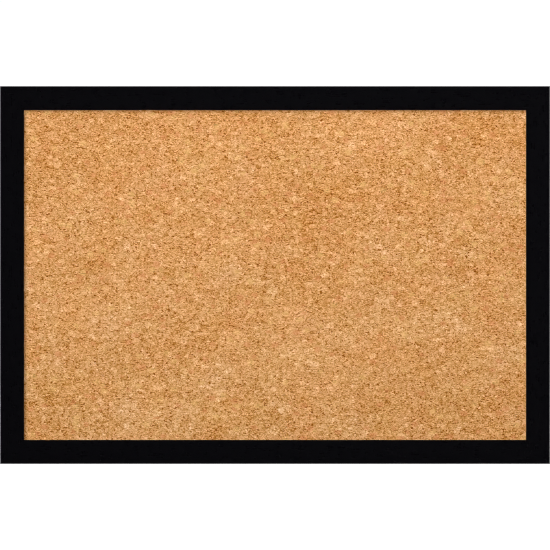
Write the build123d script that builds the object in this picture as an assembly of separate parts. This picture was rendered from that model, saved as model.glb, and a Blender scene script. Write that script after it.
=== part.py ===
"""Framed cork bulletin board, 18 x 12 in panel.

Seen from the front, +X is right and +Z is up. The wall is the plane Y = 0 and the board faces -Y.
The origin is the centre of the board on the wall. All sizes are in millimetres.
"""

import os
from math import acos, atan2, cos, hypot, radians, sin

from build123d import *

os.makedirs("parts", exist_ok=True)

# Panel: a stock cork sheet on a softboard core
PANEL_WIDTH = 457.2
PANEL_HEIGHT = 304.8
CORK_THICKNESS = 3.2
CORE_THICKNESS = 9.0

# Rails: a square section with a rabbet behind the front lip
RAIL_FACE = 21.0
RAIL_DEPTH = 19.0
LIP_THICKNESS = 4.0
LIP_OVERLAP = 6.35
PANEL_GAP = 0.65
FRONT_EASING = 0.5
BACK_EASING = 0.4

# Wall bumpers: domed discs with a small flat top
BUMPER_RADIUS = 4.75
BUMPER_HEIGHT = 5.0
BUMPER_RIM = 0.9
BUMPER_FLAT_RADIUS = 1.8
BUMPER_FROM_END = 30.0

# Framer's points: thin steel tabs driven into the rabbet wall
POINT_LENGTH = 16.0
POINT_WIDTH = 6.4
POINT_THICKNESS = 0.4
POINT_DRIVEN = 6.5
POINT_NOSE = 1.6
POINTS_ALONG_X = (-190.0, -65.0, 65.0, 190.0)
POINTS_ALONG_Z = (-122.0, 0.0, 122.0)

# V-nails: two bent strips pressed across each mitre
VNAIL_DEPTH = 7.0
VNAIL_THICKNESS = 0.6
VNAIL_LEG = 2.8
VNAIL_LEG_SPREAD = 2.5
VNAIL_CURL = 0.7
VNAIL_CURL_SPREAD = 3.5
VNAIL_RECESS = 0.3
VNAIL_INSETS = (7.6, 11.8)

# Hangers: a folded strap whose loop holds a swinging D-ring
HANGER_INSET = 8.6
HANGER_PIVOT_Z = 100.0
STRAP_SHEET = 0.8
STRAP_WIDTH = 8.6
STRAP_LENGTH = 27.0
STRAP_TRANSITION = 3.6
STRAP_TRANSITION_INSIDE = 3.2
SCREW_BELOW_PIVOT = 18.5
WIRE_RADIUS = 1.1
WIRE_CLEARANCE = 0.05
RING_HALF_WIDTH = 7.1
RING_DROP = 11.0
RING_CORNER = 2.2
RING_REST_TILT = 6.0

# Hanger screws: number 4 pan head, half an inch under the head
SCREW_SHANK_RADIUS = 1.42
SCREW_HOLE_RADIUS = 1.75
SCREW_LENGTH = 12.7
SCREW_TIP = 2.4
SCREW_HEAD_RADIUS = 2.8
SCREW_HEAD_HEIGHT = 2.0
SCREW_HEAD_FILLET = 0.9
RECESS_WIDTH = 0.8
RECESS_SPAN = 3.0
RECESS_DEPTH = 1.2

# Derived planes and edges
SIGHT_WIDTH = PANEL_WIDTH - 2 * LIP_OVERLAP
SIGHT_HEIGHT = PANEL_HEIGHT - 2 * LIP_OVERLAP
OUTER_WIDTH = SIGHT_WIDTH + 2 * RAIL_FACE
OUTER_HEIGHT = SIGHT_HEIGHT + 2 * RAIL_FACE
BACK_Y = -BUMPER_HEIGHT
FRONT_Y = BACK_Y - RAIL_DEPTH
LIP_BACK_Y = FRONT_Y + LIP_THICKNESS
CORK_BACK_Y = LIP_BACK_Y + CORK_THICKNESS
CORE_BACK_Y = CORK_BACK_Y + CORE_THICKNESS
LAND = RAIL_FACE - LIP_OVERLAP - PANEL_GAP
LOOP_INNER = WIRE_RADIUS + WIRE_CLEARANCE
LOOP_OUTER = LOOP_INNER + STRAP_SHEET
STRAP_THICKNESS = 2 * STRAP_SHEET
PIVOT_Y = BACK_Y + LOOP_OUTER
SCREW_Z = HANGER_PIVOT_Z - SCREW_BELOW_PIVOT
HEAD_SEAT_Y = BACK_Y + STRAP_THICKNESS

CUTTER = 1000.0


def save(node, shape):
    """Write one node as a STEP file."""
    export_step(shape, f"parts/{node}.step")


def group(solids):
    """Keep identical fasteners as separate solids of one node."""
    return Compound(children=list(solids))


# ---------------------------------------------------------------- rails


def rail_profile():
    """Section of a rail: X is the distance in from the outer edge, Y is depth."""
    corners = [
        (0, FRONT_Y),
        (RAIL_FACE, FRONT_Y),
        (RAIL_FACE, LIP_BACK_Y),
        (LAND, LIP_BACK_Y),
        (LAND, BACK_Y),
        (0, BACK_Y),
    ]
    section = make_face(Polyline(*corners, close=True))
    front = [v for v in section.vertices() if abs(v.Y - FRONT_Y) < PANEL_GAP]
    section = fillet(front, FRONT_EASING)
    back = [v for v in section.vertices() if abs(v.Y - BACK_Y) < PANEL_GAP]
    return chamfer(back, BACK_EASING)


def rail_blank(length, half_across):
    """A rail along X whose outer edge faces -Z at the given distance from the centre."""
    # The section's own X becomes +Z here, counted in from the outer edge.
    section_plane = Plane(origin=(-length / 2, 0, -half_across), x_dir=(0, 0, 1), z_dir=(1, 0, 0))
    section = section_plane * mirror(rail_profile(), about=Plane.XZ)
    return extrude(section, length)


def mitre_wedge(half_length, half_across):
    """The region that belongs to a rail along X below the centre, between its two mitre planes."""
    depth = half_across
    inner_half = half_length - depth
    outline = Polyline(
        (-half_length, -half_across),
        (half_length, -half_across),
        (inner_half, 0),
        (-inner_half, 0),
        close=True,
    )
    return extrude(Plane.XZ * make_face(outline), CUTTER, both=True)


def mitred_rail(length, half_across):
    """One rail along X with both ends cut at 45 degrees, on the -Z side."""
    return rail_blank(length, half_across) & mitre_wedge(length / 2, half_across)


# ---------------------------------------------------------------- fasteners


def framers_point():
    """A tab that lies along +X from its driven nose, on the plane Z = 0, its nose at X = 0."""
    half = POINT_WIDTH / 2
    outline = Polyline(
        (0, -half + POINT_NOSE),
        (POINT_NOSE, -half),
        (POINT_LENGTH, -half),
        (POINT_LENGTH, half),
        (POINT_NOSE, half),
        (0, half - POINT_NOSE),
        close=True,
    )
    return extrude(make_face(outline), POINT_THICKNESS)


def points_on_rail(along, half_across, turn):
    """Points driven outwards into one rail; turn is the rail's direction about the Y axis."""
    nose = -half_across + LAND - POINT_DRIVEN
    tabs = []
    for station in along:
        # The tab's own +X points to the board's centre, and its thickness runs to the back.
        seat = Plane(origin=(station, CORE_BACK_Y, nose), x_dir=(0, 0, 1), z_dir=(0, 1, 0))
        tabs.append(Rotation(0, turn, 0) * (seat * framers_point()))
    return tabs


def ribbon(points, thickness):
    """Closed outline of a strip of even thickness that follows a polyline."""
    left = []
    right = []
    for index, point in enumerate(points):
        before = points[max(index - 1, 0)]
        after = points[min(index + 1, len(points) - 1)]
        step_in = (point - before) if index else (after - point)
        step_out = (after - point) if index < len(points) - 1 else step_in
        step_in = step_in.normalized()
        normal_in = Vector(-step_in.Y, step_in.X)
        bisector = (step_in + step_out.normalized()).normalized()
        normal = Vector(-bisector.Y, bisector.X)
        reach = thickness / 2 / normal.dot(normal_in)
        left.append(point + normal * reach)
        right.append(point - normal * reach)
    return Polyline(*left, *reversed(right), close=True)


def vnail(inset):
    """A V-nail on the mitre of the corner at -X and -Z, its apex towards the sight edge."""
    apex = inset * 2 ** 0.5
    path = [
        Vector(apex - VNAIL_LEG - VNAIL_CURL, VNAIL_CURL_SPREAD),
        Vector(apex - VNAIL_LEG, VNAIL_LEG_SPREAD),
        Vector(apex, 0),
        Vector(apex - VNAIL_LEG, -VNAIL_LEG_SPREAD),
        Vector(apex - VNAIL_LEG - VNAIL_CURL, -VNAIL_CURL_SPREAD),
    ]
    # The outline's own X runs up the mitre from the outer corner.
    corner = Plane(
        origin=(-OUTER_WIDTH / 2, BACK_Y - VNAIL_RECESS, -OUTER_HEIGHT / 2),
        x_dir=(1, 0, 1),
        z_dir=(0, -1, 0),
    )
    return extrude(corner * make_face(ribbon(path, VNAIL_THICKNESS)), VNAIL_DEPTH)


def vnail_pocket(inset):
    """The slot a V-nail leaves in the wood, open at the back face."""
    nail = vnail(inset)
    face = nail.faces().sort_by(Axis.Y)[-1]
    return nail + extrude(face, VNAIL_RECESS)


def to_corner(shape, right, top):
    """Mirror a shape of the left bottom corner into another corner."""
    if right:
        shape = mirror(shape, about=Plane.YZ)
    if top:
        shape = mirror(shape, about=Plane.XY)
    return shape


# ---------------------------------------------------------------- hangers


def tangent_point(radius, centre, point):
    """Where the line from a point touches the upper side of a circle."""
    across = point[0] - centre[0]
    rise = point[1] - centre[1]
    angle = atan2(rise, across) + acos(radius / hypot(across, rise))
    return (centre[0] + radius * cos(angle), centre[1] + radius * sin(angle))


def strap_profile():
    """Side view of the folded strap: X runs down the strap from the pivot, Y off the wood."""
    centre = (0, LOOP_OUTER)
    shoulder = (STRAP_TRANSITION, STRAP_THICKNESS)
    throat = (STRAP_TRANSITION_INSIDE, STRAP_SHEET)
    outer_touch = tangent_point(LOOP_OUTER, centre, shoulder)
    inner_touch = tangent_point(LOOP_INNER, centre, throat)
    outside = Polyline(outer_touch, shoulder, (STRAP_LENGTH, STRAP_THICKNESS), (STRAP_LENGTH, 0), (0, 0))
    outside_arc = ThreePointArc(outer_touch, (-LOOP_OUTER, LOOP_OUTER), (0, 0))
    inside = Polyline(inner_touch, throat, (0, STRAP_SHEET))
    inside_arc = ThreePointArc(inner_touch, (-LOOP_INNER, LOOP_OUTER), (0, STRAP_SHEET))
    return make_face([*outside.edges(), outside_arc]) - make_face([*inside.edges(), inside_arc])


def hanger_strap():
    """The strap in place for X = 0, its loop at the pivot and its round end below."""
    side = Plane(origin=(-STRAP_WIDTH / 2, BACK_Y, HANGER_PIVOT_Z), x_dir=(0, 0, -1), z_dir=(1, 0, 0))
    strap = extrude(side * strap_profile(), STRAP_WIDTH)
    half = STRAP_WIDTH / 2
    top = HANGER_PIVOT_Z + 2 * LOOP_OUTER
    end_centre = HANGER_PIVOT_Z - STRAP_LENGTH + half
    outline = make_face(
        [
            Line((half, end_centre), (half, top)),
            Line((half, top), (-half, top)),
            Line((-half, top), (-half, end_centre)),
            ThreePointArc((-half, end_centre), (0, end_centre - half), (half, end_centre)),
        ]
    )
    strap = strap & extrude(Plane.XZ * outline, CUTTER, both=True)
    hole = Pos(0, BACK_Y, SCREW_Z) * Rotation(90, 0, 0) * Cylinder(SCREW_HOLE_RADIUS, CUTTER)
    return strap - hole


def ring_path():
    """Centre line of the D-ring, hanging straight down from its bar on the pivot."""
    wide = RING_HALF_WIDTH
    corner = RING_CORNER
    arc_start = -(RING_DROP - wide)
    turn = corner * (1 - cos(radians(45)))
    edges = [
        Line((-wide + corner, 0), (wide - corner, 0)),
        ThreePointArc((wide - corner, 0), (wide - turn, -turn), (wide, -corner)),
        Line((wide, -corner), (wide, arc_start)),
        ThreePointArc((wide, arc_start), (0, -RING_DROP), (-wide, arc_start)),
        Line((-wide, arc_start), (-wide, -corner)),
        ThreePointArc((-wide, -corner), (-wide + turn, -turn), (-wide + corner, 0)),
    ]
    return Wire(edges)


def d_ring():
    """The D-ring at rest for X = 0, leaning off the strap by its rest tilt."""
    path = ring_path()
    section = Plane(origin=path @ 0, z_dir=path % 0) * Circle(WIRE_RADIUS)
    ring = sweep(section, path=path)
    # The path's own -Y hangs down the board once it is stood up on the pivot.
    stand = Pos(0, PIVOT_Y, HANGER_PIVOT_Z) * Rotation(90 + RING_REST_TILT, 0, 0)
    return stand * ring


def screw_body():
    """Shank and tip of the hanger screw, along -Z below the head's seat."""
    outline = Polyline(
        (0, 0),
        (SCREW_SHANK_RADIUS, 0),
        (SCREW_SHANK_RADIUS, -SCREW_LENGTH + SCREW_TIP),
        (0, -SCREW_LENGTH),
        close=True,
    )
    return revolve(Plane.XZ * make_face(outline), Axis.Z)


def hanger_screw():
    """Pan-head screw with a cross recess, seated on the strap for X = 0."""
    head = extrude(Circle(SCREW_HEAD_RADIUS), SCREW_HEAD_HEIGHT)
    head = fillet(head.edges().sort_by(Axis.Z)[-1], SCREW_HEAD_FILLET)
    slot = Box(RECESS_SPAN, RECESS_WIDTH, 2 * RECESS_DEPTH)
    cross = Pos(0, 0, SCREW_HEAD_HEIGHT) * (slot + Rotation(0, 0, 90) * slot)
    return seat_screw((head + screw_body()) - cross)


def seat_screw(shape):
    """Turn a screw's own +Z to the back and seat it on the strap."""
    return Pos(0, HEAD_SEAT_Y, SCREW_Z) * Rotation(-90, 0, 0) * shape


def hanger_x(right):
    """Where a hanger's centre line is on the right or the left rail."""
    across = OUTER_WIDTH / 2 - HANGER_INSET
    return across if right else -across


# ---------------------------------------------------------------- bumpers


def bumper():
    """A domed bumper on the rails' back face, its flat top on the wall."""
    shoulder = (BUMPER_RADIUS, BUMPER_RIM)
    crown = (BUMPER_FLAT_RADIUS, BUMPER_HEIGHT)
    outline = make_face(
        [
            Line((0, 0), (BUMPER_RADIUS, 0)),
            Line((BUMPER_RADIUS, 0), shoulder),
            TangentArc(shoulder, crown, tangent=(0, 1)),
            Line(crown, (0, BUMPER_HEIGHT)),
            Line((0, BUMPER_HEIGHT), (0, 0)),
        ]
    )
    dome = revolve(Plane.XZ * outline, Axis.Z)
    across = -OUTER_WIDTH / 2 + BUMPER_FROM_END
    up = -OUTER_HEIGHT / 2 + LAND / 2
    return Pos(across, BACK_Y, up) * Rotation(-90, 0, 0) * dome


# ---------------------------------------------------------------- build

CORNERS = {
    "bottom_left": (False, False),
    "bottom_right": (True, False),
    "top_left": (False, True),
    "top_right": (True, True),
}

RAILS = {
    "bottom": (OUTER_WIDTH, OUTER_HEIGHT / 2, POINTS_ALONG_X, 0),
    "left": (OUTER_HEIGHT, OUTER_WIDTH / 2, POINTS_ALONG_Z, 90),
    "top": (OUTER_WIDTH, OUTER_HEIGHT / 2, POINTS_ALONG_X, 180),
    "right": (OUTER_HEIGHT, OUTER_WIDTH / 2, POINTS_ALONG_Z, 270),
}

cork_sheet = Pos(0, LIP_BACK_Y, 0) * Box(
    PANEL_WIDTH, CORK_THICKNESS, PANEL_HEIGHT, align=(Align.CENTER, Align.MIN, Align.CENTER)
)
save("cork_sheet", cork_sheet)

softboard_core = Pos(0, CORK_BACK_Y, 0) * Box(
    PANEL_WIDTH, CORE_THICKNESS, PANEL_HEIGHT, align=(Align.CENTER, Align.MIN, Align.CENTER)
)
save("softboard_core", softboard_core)

pockets = []
for corner_name, (right, top) in CORNERS.items():
    nails = [to_corner(vnail(inset), right, top) for inset in VNAIL_INSETS]
    pockets += [to_corner(vnail_pocket(inset), right, top) for inset in VNAIL_INSETS]
    save(f"vnails_{corner_name}", group(nails))
    save(f"bumper_{corner_name}", to_corner(bumper(), right, top))

screw_holes = [Pos(hanger_x(right), 0, 0) * seat_screw(screw_body()) for right in (False, True)]

for side, (length, half_across, along, turn) in RAILS.items():
    rail = Rotation(0, turn, 0) * mitred_rail(length, half_across)
    tabs = points_on_rail(along, half_across, turn)
    for cutter in (*tabs, *pockets, *screw_holes):
        if rail.bounding_box().overlaps(cutter.bounding_box()):
            rail = rail - cutter
    save(f"rail_{side}", rail)
    save(f"points_{side}", group(tabs))

for side_name, right in (("left", False), ("right", True)):
    place = Pos(hanger_x(right), 0, 0)
    save(f"hanger_strap_{side_name}", place * hanger_strap())
    save(f"d_ring_{side_name}", place * d_ring())
    save(f"hanger_screw_{side_name}", place * hanger_screw())
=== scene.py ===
"""Looks for the framed cork bulletin board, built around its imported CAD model.

Metres, in the CAD's frame: +X right and +Z up seen from the front, and the cork faces -Y.
"""

from math import radians

import bpy
import numpy as np
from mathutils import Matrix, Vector


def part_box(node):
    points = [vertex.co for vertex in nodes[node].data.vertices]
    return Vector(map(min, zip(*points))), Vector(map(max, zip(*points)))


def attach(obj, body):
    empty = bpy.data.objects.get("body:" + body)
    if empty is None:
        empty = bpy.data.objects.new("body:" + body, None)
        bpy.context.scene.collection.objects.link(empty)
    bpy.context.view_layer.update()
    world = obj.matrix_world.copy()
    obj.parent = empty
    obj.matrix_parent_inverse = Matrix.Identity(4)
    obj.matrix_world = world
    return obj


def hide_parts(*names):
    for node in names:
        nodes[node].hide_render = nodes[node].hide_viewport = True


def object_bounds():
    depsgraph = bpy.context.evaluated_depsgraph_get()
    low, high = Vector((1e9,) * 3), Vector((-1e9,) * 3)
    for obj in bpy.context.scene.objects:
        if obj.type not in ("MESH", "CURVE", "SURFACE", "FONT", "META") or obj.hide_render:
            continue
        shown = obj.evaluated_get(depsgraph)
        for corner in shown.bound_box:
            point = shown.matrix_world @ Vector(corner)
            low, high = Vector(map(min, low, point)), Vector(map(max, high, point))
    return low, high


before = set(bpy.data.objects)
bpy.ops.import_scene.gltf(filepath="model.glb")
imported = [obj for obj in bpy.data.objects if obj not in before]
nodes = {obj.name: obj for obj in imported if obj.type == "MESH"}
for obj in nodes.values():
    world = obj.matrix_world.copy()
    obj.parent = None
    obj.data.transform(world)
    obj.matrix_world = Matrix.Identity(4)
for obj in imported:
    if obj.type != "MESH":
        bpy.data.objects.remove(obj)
cad_low, cad_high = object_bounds()
MM = 0.001

# Surface relief: how finely each sheet's face is sampled, and how deep it goes, in millimetres
CORK_SAMPLE = 1.2
CORE_SAMPLE = 1.6
DEEPEST = 0.4
CORK_PRESSED = 0.13
CORK_EDGE = 0.05
CORE_PRESSED = 0.14
CORK_SEED = 7
CORE_SEED = 11

# Softened edges of the hangers and points, in millimetres
STRAP_BEVEL = 0.12
SMALL_BEVEL = 0.06
WELD_GAP = 0.002
SHARP_DEGREES = 35

# Floor: half its width in metres, and how far it lies under the lower rail, in millimetres
FLOOR_HALF = 4.0
FLOOR_GAP = 0.2

# ---------------------------------------------------------------- colours


def linear(*srgb):
    """A display colour, 0 to 255, as the linear RGBA that shaders take."""
    out = []
    for value in srgb:
        share = value / 255
        out.append(share / 12.92 if share <= 0.04045 else ((share + 0.055) / 1.055) ** 2.4)
    return (*out, 1.0)


# ---------------------------------------------------------------- node graphs


class Graph:
    """A material's node graph, built one call per node."""

    def __init__(self, name):
        self.material = bpy.data.materials.new(name)
        self.material.use_nodes = True
        self.tree = self.material.node_tree
        self.shader = self.tree.nodes["Principled BSDF"]
        self.mm = self.vector(
            "SCALE", self.add("ShaderNodeTexCoord").outputs["Object"], scale=1 / MM
        )

    def add(self, kind, **settings):
        node = self.tree.nodes.new(kind)
        for key, value in settings.items():
            setattr(node, key, value)
        return node

    def set(self, socket, value):
        if isinstance(value, bpy.types.NodeSocket):
            self.tree.links.new(value, socket)
        else:
            socket.default_value = value

    def math(self, operation, *values):
        node = self.add("ShaderNodeMath", operation=operation)
        for socket, value in zip(node.inputs, values):
            self.set(socket, value)
        return node.outputs[0]

    def vector(self, operation, *values, scale=None):
        node = self.add("ShaderNodeVectorMath", operation=operation)
        for socket, value in zip(node.inputs, values):
            self.set(socket, value)
        if scale is not None:
            self.set(node.inputs["Scale"], scale)
        return node.outputs[0]

    def stretch(self, scales, source=None):
        """Coordinates multiplied axis by axis: a pattern is long where the factor is small."""
        return self.vector("MULTIPLY", source or self.mm, scales)

    def turn(self, degrees, source=None):
        """Coordinates turned about Y, in the plane of the board."""
        node = self.add("ShaderNodeVectorRotate", rotation_type="Y_AXIS")
        self.set(node.inputs["Vector"], source or self.mm)
        node.inputs["Angle"].default_value = radians(degrees)
        return node.outputs["Vector"]

    def split(self, source=None):
        return self.add_linked("ShaderNodeSeparateXYZ", source or self.mm).outputs

    def add_linked(self, kind, source):
        node = self.add(kind)
        self.set(node.inputs[0], source)
        return node

    def noise(self, source, scale, detail=2.0, rough=0.5, distortion=0.0):
        """Smooth noise from 0 to 1 with features about 1 / scale millimetres across."""
        node = self.add("ShaderNodeTexNoise")
        self.set(node.inputs["Vector"], source)
        node.inputs["Scale"].default_value = scale
        node.inputs["Detail"].default_value = detail
        node.inputs["Roughness"].default_value = rough
        node.inputs["Distortion"].default_value = distortion
        return node.outputs["Fac"]

    def cells(self, source, scale, feature="F1"):
        """Voronoi cells: their distance field and a random number per cell."""
        node = self.add("ShaderNodeTexVoronoi", feature=feature)
        self.set(node.inputs["Vector"], source)
        node.inputs["Scale"].default_value = scale
        if feature == "DISTANCE_TO_EDGE":
            return node.outputs["Distance"], None
        number = self.add_linked("ShaderNodeSeparateColor", node.outputs["Color"]).outputs[0]
        return node.outputs["Distance"], number

    def ramp(self, value, *stops):
        """A colour that runs through the stops, each a position and its colour."""
        node = self.add("ShaderNodeValToRGB")
        elements = node.color_ramp.elements
        while len(elements) < len(stops):
            elements.new(0.5)
        for element, (position, colour) in zip(elements, sorted(stops)):
            element.position = position
            element.color = colour
        self.set(node.inputs[0], value)
        return node.outputs["Color"]

    def span(self, value, low, high, to_low=0.0, to_high=1.0, smooth=True):
        """The value's range low to high, mapped to another and held outside it."""
        node = self.add("ShaderNodeMapRange")
        node.interpolation_type = "SMOOTHSTEP" if smooth else "LINEAR"
        for socket, number in zip(node.inputs, (value, low, high, to_low, to_high)):
            self.set(socket, number)
        return node.outputs["Result"]

    def mix(self, share, first, second, blend="MIX"):
        node = self.add("ShaderNodeMix", data_type="RGBA", blend_type=blend)
        self.set(node.inputs["Factor"], share)
        self.set(node.inputs[6], first)
        self.set(node.inputs[7], second)
        return node.outputs[2]

    def bump(self, height, distance, strength):
        """Surface relief; distance is in metres for a height of 1."""
        node = self.add("ShaderNodeBump")
        node.inputs["Strength"].default_value = strength
        node.inputs["Distance"].default_value = distance
        self.set(node.inputs["Height"], height)
        return node.outputs["Normal"]

    def normal(self):
        """The surface's own normal in the row frame, by component."""
        return self.split(self.add("ShaderNodeNewGeometry").outputs["True Normal"])

    def finish(self, colour, roughness, normal, **constants):
        """Wire up the shader; a constant such as Specular_IOR_Level goes straight on its socket."""
        self.set(self.shader.inputs["Base Color"], colour)
        self.set(self.shader.inputs["Roughness"], roughness)
        self.set(self.shader.inputs["Normal"], normal)
        for name, value in constants.items():
            self.shader.inputs[name.replace("_", " ")].default_value = value
        return self.material


# ---------------------------------------------------------------- cork


def cork_material():
    """Agglomerated cork: pressed granules with a grain and tone each, and dark bark between."""
    g = Graph("cork")
    wander = g.add("ShaderNodeTexNoise")
    g.set(wander.inputs["Vector"], g.mm)
    wander.inputs["Scale"].default_value = 0.55
    offset = g.vector("SUBTRACT", wander.outputs["Color"], (0.5, 0.5, 0.5))
    wandering = g.vector("ADD", g.mm, g.vector("SCALE", offset, scale=2.2))
    pressed = g.stretch((0.69, 1.0, 1.1), wandering)
    granule = g.add("ShaderNodeTexVoronoi")
    g.set(granule.inputs["Vector"], pressed)
    granule.inputs["Scale"].default_value = 0.3
    own = g.split(granule.outputs["Color"])
    jump = g.vector("SCALE", granule.outputs["Color"], scale=60.0)
    shuffled = g.vector("ADD", g.stretch((0.68, 1.0, 1.15)), jump)
    grain = g.noise(shuffled, 1.2, 1.0, 0.5)
    grain = g.math(
        "MULTIPLY", g.math("SUBTRACT", grain, 0.5), g.math("MULTIPLY_ADD", own[1], 0.9, 0.15)
    )
    _, crumb = g.cells(g.stretch((0.63, 1.0, 1.12), wandering), 1.15)
    tone = g.math("ADD", grain, g.math("MULTIPLY_ADD", crumb, 0.35, -0.175))
    tone = g.math("ADD", tone, g.math("MULTIPLY_ADD", own[0], 0.16, -0.08))
    drift = g.noise(
        g.vector("ADD", g.stretch((0.75, 1.0, 1.3), g.turn(7)), (40, 0, 310)), 0.011, 3.0, 0.5
    )
    tone = g.math("ADD", tone, g.math("MULTIPLY_ADD", drift, 0.3, -0.15))
    clumps = g.noise(g.stretch((0.6, 1.0, 1.3), g.turn(9)), 0.06, 2.0, 0.5)
    tone = g.math("ADD", tone, g.math("MULTIPLY_ADD", clumps, 0.12, -0.06))
    crevice, _ = g.cells(pressed, 0.3, "DISTANCE_TO_EDGE")
    open_seam = g.math(
        "MULTIPLY", g.span(crevice, 0.11, 0.02), g.span(g.noise(g.mm, 0.5, 2.0), 0.42, 0.58)
    )
    # The seams are real gaps, sunk in the relief height below; their darker colour here is painted
    # shade.
    tone = g.math("MULTIPLY_ADD", open_seam, -0.3, tone)
    speck_field, speck = g.cells(g.stretch((0.65, 1.0, 1.15), wandering), 0.8)
    barked = g.math("MULTIPLY", g.span(speck, 0.2, 0.03), g.span(speck_field, 0.66, 0.5))
    tone = g.math("MULTIPLY_ADD", barked, -0.42, tone)
    glint = g.math("MULTIPLY", g.span(speck, 0.88, 0.91), g.span(speck_field, 0.62, 0.45))
    tone = g.math("MULTIPLY_ADD", glint, 0.22, tone)
    patch_field, patch = g.cells(g.stretch((0.85, 1.0, 1.15), wandering), 0.19)
    inside = g.span(patch_field, 0.72, 0.4)
    pale = g.math("MULTIPLY", inside, g.span(patch, 0.84, 0.9))
    tone = g.math("MULTIPLY_ADD", pale, 0.15, tone)
    tone = g.math("ADD", tone, 0.56)
    colour = g.ramp(
        tone,
        (0.0, linear(134, 69, 3)),
        (0.18, linear(170, 106, 29)),
        (0.36, linear(195, 134, 66)),
        (0.52, linear(214, 156, 97)),
        (0.7, linear(229, 176, 121)),
        (0.86, linear(241, 195, 144)),
        (1.0, linear(251, 216, 170)),
    )
    blush_and_painted_light = g.noise(g.vector("ADD", g.mm, (91, 17, 53)), 0.03, 2.0, 0.6)
    # Painted light: the height term makes the sheet a shade redder toward its upper edge, standing
    # in for stronger light at the top; the noise before it is the cork's own blush.
    blush_and_painted_light = g.math("ADD", blush_and_painted_light, g.span(g.split()[2], -150.0, 150.0, -0.12, 0.12, smooth=False))
    reddening = g.ramp(blush_and_painted_light, (0.3, (1.005, 1.035, 1.07, 1)), (0.7, (1.025, 0.965, 0.93, 1)))
    colour = g.mix(1.0, colour, reddening, "MULTIPLY")
    straw = g.noise(g.vector("ADD", g.mm, (13, 71, 209)), 0.04, 3.0, 0.6)
    yellowing = g.ramp(straw, (0.3, (1.0, 1.0, 0.93, 1)), (0.7, (1.0, 1.0, 1.07, 1)))
    colour = g.mix(1.0, colour, yellowing, "MULTIPLY")
    rosy = g.math("MULTIPLY", inside, g.span(patch, 0.08, 0.05))
    colour = g.mix(g.math("MULTIPLY", rosy, 0.4), colour, linear(216, 134, 84))
    creamy = g.math("MULTIPLY", inside, g.math("COMPARE", patch, 0.5, 0.025))
    colour = g.mix(g.math("MULTIPLY", creamy, 0.35), colour, linear(240, 196, 126))
    pores = g.noise(g.mm, 2.4, 2.0, 0.6)
    height = g.math("ADD", g.math("MULTIPLY", crumb, 0.5), g.math("MULTIPLY", pores, 0.5))
    height = g.math("MULTIPLY_ADD", open_seam, -0.5, height)
    normal = g.bump(height, 0.25 * MM, 0.25)
    return g.finish(colour, g.span(tone, 0.1, 0.9, 0.94, 0.8), normal, Specular_IOR_Level=0.2)


def value_noise(shape, cell, rng):
    """Smooth random field on a grid, with features about `cell` samples across, from -1 to 1."""
    rows, columns = shape
    knots = rng.uniform(-1, 1, (rows // cell + 3, columns // cell + 3))
    v = np.arange(rows)[:, None] / cell
    u = np.arange(columns)[None, :] / cell
    row, column = v.astype(int), u.astype(int)
    fy, fx = v - row, u - column
    fy, fx = fy * fy * (3 - 2 * fy), fx * fx * (3 - 2 * fx)
    top = knots[row, column] * (1 - fx) + knots[row, column + 1] * fx
    low = knots[row + 1, column] * (1 - fx) + knots[row + 1, column + 1] * fx
    return top * (1 - fy) + low * fy


def relief_slab(name, low, high, front, step, relief):
    """A closed slab whose front or back face carries relief, as one mesh.

    relief(rows, columns) gives the depth that each sample of the face lies below its plane.
    """
    width, height = high.x - low.x, high.z - low.z
    columns = round(width / step) + 1
    rows = round(height / step) + 1
    xs = np.linspace(low.x, high.x, columns)
    zs = np.linspace(low.z, high.z, rows)
    grid_x, grid_z = np.meshgrid(xs, zs)
    depth = relief(rows, columns)
    face_y = low.y + depth if front else high.y - depth
    face = np.stack([grid_x, face_y, grid_z], -1).reshape(-1, 3)
    index = np.arange(rows * columns).reshape(rows, columns)
    quads = np.stack(
        [index[:-1, :-1], index[:-1, 1:], index[1:, 1:], index[1:, :-1]], -1
    ).reshape(-1, 4)
    rim = np.concatenate([index[0, :-1], index[:-1, -1], index[-1, :0:-1], index[:0:-1, 0]])
    base_y = high.y if front else low.y
    base = face[rim].copy()
    base[:, 1] = base_y
    start = rows * columns
    count = len(rim)
    base_index = start + np.arange(count)
    walls = np.stack([np.roll(rim, -1), rim, base_index, np.roll(base_index, -1)], -1)
    cap = base_index[::-1]
    if not front:
        quads, walls, cap = quads[:, ::-1], walls[:, ::-1], cap[::-1]
    faces = [*quads.tolist(), *walls.tolist(), cap.tolist()]
    mesh = bpy.data.meshes.new(name)
    mesh.from_pydata(np.concatenate([face, base]).tolist(), [], faces)
    mesh.validate()
    mesh.polygons.foreach_set("use_smooth", np.arange(len(mesh.polygons)) < len(quads))
    slab = bpy.data.objects.new(name, mesh)
    bpy.context.scene.collection.objects.link(slab)
    return slab


def cork_relief(rows, columns):
    """Depth of the pressed and sanded granules, in metres."""
    rng = np.random.default_rng(CORK_SEED)
    granules = (
        value_noise((rows, columns), 2, rng) * 0.5 + value_noise((rows, columns), 3, rng) * 0.5
    )
    single = rng.uniform(-1, 1, (rows, columns))
    swell = value_noise((rows, columns), 40, rng)
    depth = CORK_PRESSED + 0.05 * granules + 0.045 * single + 0.02 * swell
    edge = np.zeros((rows, columns), bool)
    edge[[0, -1], :] = True
    edge[:, [0, -1]] = True
    depth[edge] = CORK_EDGE
    return np.clip(depth, 0.0, DEEPEST) * MM


def board_relief(rows, columns):
    """Depth of the softboard's fibrous back, in metres."""
    rng = np.random.default_rng(CORE_SEED)
    fibres = value_noise((rows, columns), 2, rng) + value_noise((rows, columns), 5, rng)
    depth = CORE_PRESSED + 0.05 * fibres + 0.03 * rng.uniform(-1, 1, (rows, columns))
    return np.clip(depth, 0.0, DEEPEST) * MM


# ---------------------------------------------------------------- other materials


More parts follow.
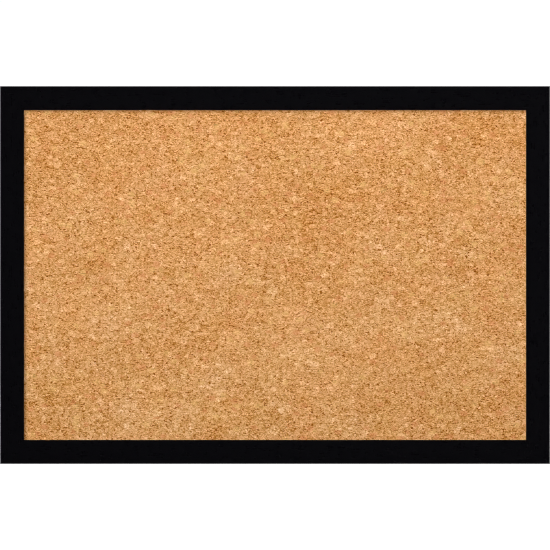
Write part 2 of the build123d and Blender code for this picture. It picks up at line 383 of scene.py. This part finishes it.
def softboard_material():
    """Pressed wood fibre: strands matted every way, dark and pale shives, and a dusty surface."""
    g = Graph("softboard")
    mat = None
    for heading in (12, 71, 133):
        strands = g.noise(g.stretch((0.3, 1.0, 1.4), g.turn(heading)), 0.8, 3.0, 0.7, 0.6)
        mat = strands if mat is None else g.math("ADD", mat, strands)
    cloud = g.noise(g.mm, 0.06, 4.0, 0.65)
    tone = g.math("ADD", g.math("MULTIPLY", mat, 0.62), g.math("MULTIPLY_ADD", cloud, 0.24, -0.55))
    colour = g.ramp(
        tone,
        (0.3, linear(132, 101, 68)),
        (0.45, linear(163, 131, 94)),
        (0.55, linear(183, 151, 113)),
        (0.72, linear(206, 177, 140)),
    )
    for heading in (8, 52, 101, 149):
        field, number = g.cells(g.stretch((0.3, 1.0, 1.7), g.turn(heading)), 0.5)
        near = g.span(field, 0.45, 0.25)
        dark = g.math("MULTIPLY", near, g.span(number, 0.07, 0.02))
        colour = g.mix(g.math("MULTIPLY", dark, 0.7), colour, linear(92, 64, 40))
        light = g.math("MULTIPLY", near, g.span(number, 0.93, 0.98))
        colour = g.mix(g.math("MULTIPLY", light, 0.6), colour, linear(222, 196, 158))
    normal = g.bump(mat, 0.3 * MM, 0.5)
    return g.finish(colour, 0.93, normal, Specular_IOR_Level=0.2)


def frame_material(name, along_x):
    """Black satin paint over wood, with the bare back and rabbet of the moulding."""
    g = Graph(name)
    lengthwise = (0.05, 1.0, 1.0) if along_x else (1.0, 1.0, 0.05)
    grain = g.noise(g.stretch(lengthwise), 1.5, 4.0, 0.6, 0.4)
    mottle = g.noise(g.mm, 0.16, 3.0, 0.6)
    peel = g.noise(g.mm, 1.3, 2.0, 0.5)
    black = g.mix(mottle, linear(5, 5, 7), linear(8, 7, 10))
    black = g.mix(g.math("MULTIPLY", g.span(grain, 0.55, 0.8), 0.3), black, linear(13, 12, 15))
    paint_rough = g.span(g.math("ADD", mottle, grain), 0.7, 1.3, 0.26, 0.36)
    fibre = g.noise(g.stretch(lengthwise), 2.6, 4.0, 0.7, 0.6)
    bare = g.ramp(
        fibre,
        (0.3, linear(160, 124, 82)),
        (0.5, linear(192, 156, 110)),
        (0.7, linear(214, 183, 140)),
    )
    x, y, z = g.split()
    facing = g.normal()
    behind = g.span(facing[1], 0.75, 0.95)
    edge_x = g.math("SUBTRACT", cad_high.x / MM, g.math("ABSOLUTE", x))
    edge_z = g.math("SUBTRACT", cad_high.z / MM, g.math("ABSOLUTE", z))
    inset = g.math("MINIMUM", edge_x, edge_z)
    inset = g.math("ADD", inset, g.math("MULTIPLY_ADD", g.noise(g.mm, 0.5, 4.0, 0.7), 5.0, -2.5))
    unsprayed = g.math("MULTIPLY", behind, g.span(inset, 0.6, 2.2))
    colour = g.mix(unsprayed, black, bare)
    roughness = g.math("MULTIPLY_ADD", unsprayed, 0.35, paint_rough)
    relief = g.math("ADD", g.math("MULTIPLY", grain, 0.5), g.math("MULTIPLY", peel, 0.5))
    normal = g.bump(relief, 0.06 * MM, 0.5)
    return g.finish(colour, roughness, normal, Specular_IOR_Level=0.11)


def steel_material(name, bright, dull, rough, brushed=(1.0, 1.0, 1.0)):
    """Plated or bare steel: fine scratches and a clouded finish, between a dull and a bright
    colour.
    """
    g = Graph(name)
    cloud = g.noise(g.mm, 0.6, 3.0, 0.6)
    scratch = g.noise(g.stretch(brushed), 6.0, 3.0, 0.6)
    colour = g.mix(
        g.span(g.math("ADD", cloud, g.math("MULTIPLY", scratch, 0.4)), 0.45, 0.95), dull, bright
    )
    roughness = g.span(g.math("ADD", cloud, scratch), 0.7, 1.3, rough - 0.09, rough + 0.11)
    normal = g.bump(scratch, 0.012 * MM, 0.5)
    return g.finish(colour, roughness, normal, Metallic=1.0)


def rubber_material():
    """Dark moulded rubber with a dusty bloom."""
    g = Graph("bumper_rubber")
    bloom = g.noise(g.mm, 0.9, 4.0, 0.65)
    pits = g.noise(g.mm, 5.0, 2.0, 0.5)
    colour = g.mix(bloom, linear(46, 46, 48), linear(72, 71, 70))
    normal = g.bump(pits, 0.03 * MM, 0.5)
    return g.finish(colour, g.span(bloom, 0.3, 0.7, 0.62, 0.8), normal, Specular_IOR_Level=0.4)


# ---------------------------------------------------------------- dress the nodes


def dress(names, material):
    for name in names:
        mesh = nodes[name].data
        mesh.materials.clear()
        mesh.materials.append(material)


def soften(names, width):
    """Break the hard edges of CAD pieces with a small bevel.

    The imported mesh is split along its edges, so without the weld a bevel cuts next to none.
    """
    for name in names:
        weld = nodes[name].modifiers.new("weld", "WELD")
        weld.merge_threshold = WELD_GAP * MM
        bevel = nodes[name].modifiers.new("bevel", "BEVEL")
        bevel.width = width
        bevel.segments = 2
        bevel.limit_method = "ANGLE"
        bevel.angle_limit = radians(SHARP_DEGREES)
        bevel.harden_normals = True


SIDES = ("left", "right")
CORNERS = ("top_left", "top_right", "bottom_left", "bottom_right")
POINTS = ("points_top", "points_bottom", "points_left", "points_right")

dress(("rail_top", "rail_bottom"), frame_material("black_frame_across", True))
dress(("rail_left", "rail_right"), frame_material("black_frame_upright", False))

point_steel = steel_material(
    "point_steel", (0.5, 0.5, 0.51, 1), (0.3, 0.3, 0.31, 1), 0.38, (0.1, 1, 1)
)
dress(POINTS, point_steel)

nail_steel = steel_material("nail_steel", (0.4, 0.4, 0.41, 1), (0.22, 0.21, 0.2, 1), 0.45)
dress([f"vnails_{corner}" for corner in CORNERS], nail_steel)

hanger_steel = steel_material(
    "hanger_steel", (0.7, 0.71, 0.73, 1), (0.46, 0.47, 0.5, 1), 0.33, brushed=(1, 1, 0.12)
)
dress([f"hanger_strap_{side}" for side in SIDES], hanger_steel)

ring_steel = steel_material("ring_steel", (0.78, 0.78, 0.79, 1), (0.55, 0.55, 0.57, 1), 0.2)
dress([f"d_ring_{side}" for side in SIDES], ring_steel)

screw_steel = steel_material("screw_steel", (0.72, 0.68, 0.56, 1), (0.5, 0.46, 0.36, 1), 0.3)
dress([f"hanger_screw_{side}" for side in SIDES], screw_steel)

dress([f"bumper_{corner}" for corner in CORNERS], rubber_material())

soften([f"hanger_strap_{side}" for side in SIDES], STRAP_BEVEL * MM)
soften([f"hanger_screw_{side}" for side in SIDES], SMALL_BEVEL * MM)
soften(POINTS, SMALL_BEVEL * MM)

cork_low, cork_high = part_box("cork_sheet")
cork = relief_slab("cork_face", cork_low, cork_high, True, CORK_SAMPLE * MM, cork_relief)
cork.data.materials.append(cork_material())
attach(cork, "board")
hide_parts("cork_sheet")

core_low, core_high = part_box("softboard_core")
core = relief_slab("softboard", core_low, core_high, False, CORE_SAMPLE * MM, board_relief)
core.data.materials.append(softboard_material())
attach(core, "board")
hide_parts("softboard_core")

# ---------------------------------------------------------------- stage, lights and camera


def area_light(name, place, size, watts, deep=None, gloss=True, aim=(0, 0, 0), spread=180):
    """A softbox; gloss says whether shiny surfaces mirror it, and spread is its grid's angle."""
    lamp = bpy.data.lights.new(name, "AREA")
    lamp.shape = "RECTANGLE"
    lamp.size = size
    lamp.size_y = deep or size
    lamp.energy = watts
    lamp.spread = radians(spread)
    holder = bpy.data.objects.new(name, lamp)
    holder.location = place
    holder.rotation_euler = (Vector(aim) - Vector(place)).to_track_quat("-Z", "Y").to_euler()
    holder.visible_camera = False
    holder.visible_glossy = gloss
    bpy.context.scene.collection.objects.link(holder)


def floor_material():
    g = Graph("floor_white")
    g.shader.inputs["Base Color"].default_value = (0.82, 0.82, 0.82, 1)
    g.shader.inputs["Roughness"].default_value = 0.9
    g.shader.inputs["Specular IOR Level"].default_value = 0.0
    g.shader.inputs["Emission Color"].default_value = (1, 1, 1, 1)
    g.shader.inputs["Emission Strength"].default_value = 0.64
    return g.material


def make_floor():
    half = FLOOR_HALF
    under = cad_low.z - FLOOR_GAP * MM
    corners = [
        (-half, -half, under), (half, -half, under), (half, half, under), (-half, half, under)
    ]
    mesh = bpy.data.meshes.new("floor")
    mesh.from_pydata(corners, [], [(0, 1, 2, 3)])
    floor = bpy.data.objects.new("floor", mesh)
    bpy.context.scene.collection.objects.link(floor)
    mesh.materials.append(floor_material())
    # The floor is lit like a white sweep, but throws no light of its own back on the board.
    floor.visible_diffuse = False
    floor.visible_glossy = False


def make_world():
    """White to the camera; on the board, light from a bright wall behind and a dim room."""
    world = bpy.data.worlds.new("studio")
    bpy.context.scene.world = world
    world.use_nodes = True
    tree = world.node_tree
    tree.nodes.clear()
    output = tree.nodes.new("ShaderNodeOutputWorld")
    direction = tree.nodes.new("ShaderNodeSeparateXYZ")
    tree.links.new(tree.nodes.new("ShaderNodeTexCoord").outputs["Generated"], direction.inputs[0])
    depth = tree.nodes.new("ShaderNodeMapRange")
    depth.interpolation_type = "SMOOTHSTEP"
    tree.links.new(direction.outputs["Y"], depth.inputs["Value"])
    for name, value in (("From Min", -0.35), ("From Max", 0.6), ("To Min", 0.05), ("To Max", 0.85)):
        depth.inputs[name].default_value = value
    room = tree.nodes.new("ShaderNodeBackground")
    tree.links.new(depth.outputs["Result"], room.inputs["Strength"])
    white = tree.nodes.new("ShaderNodeBackground")
    white.inputs["Color"].default_value = (1, 1, 1, 1)
    white.inputs["Strength"].default_value = 1.03
    room.inputs["Color"].default_value = (1, 1, 1, 1)
    switch = tree.nodes.new("ShaderNodeMixShader")
    tree.links.new(tree.nodes.new("ShaderNodeLightPath").outputs["Is Camera Ray"], switch.inputs[0])
    tree.links.new(room.outputs[0], switch.inputs[1])
    tree.links.new(white.outputs[0], switch.inputs[2])
    tree.links.new(switch.outputs[0], output.inputs["Surface"])


make_floor()
make_world()
area_light("key", (-2.3, -4.5, 2.0), 3.6, 236.0, gloss=False)
area_light("front_fill", (0.3, -3.0, -0.05), 0.6, 5.2, gloss=False, aim=(0.1, 0, 0.3), spread=60)
area_light("top_strip", (0.0, -0.35, 0.62), 1.1, 0.6, deep=0.15)
area_light("back_fill", (-1.4, 2.4, 1.5), 1.6, 36.0)

LENS = 400.0
SENSOR = 36.0
VIEW_WIDTH = 486.69 * MM

camera_data = bpy.data.cameras.new("camera")
camera_data.lens = LENS
camera_data.sensor_width = SENSOR
camera_data.clip_end = 50.0
camera = bpy.data.objects.new("camera", camera_data)
camera.location = (0, cad_low.y - VIEW_WIDTH * LENS / SENSOR, 0)
camera.rotation_euler = (radians(90), 0, 0)
bpy.context.scene.collection.objects.link(camera)
bpy.context.scene.camera = camera
bpy.context.scene.view_settings.view_transform = "Standard"
bpy.context.scene.cycles.filter_width = 1.0
bpy.context.scene.cycles.denoising_prefilter = "NONE"
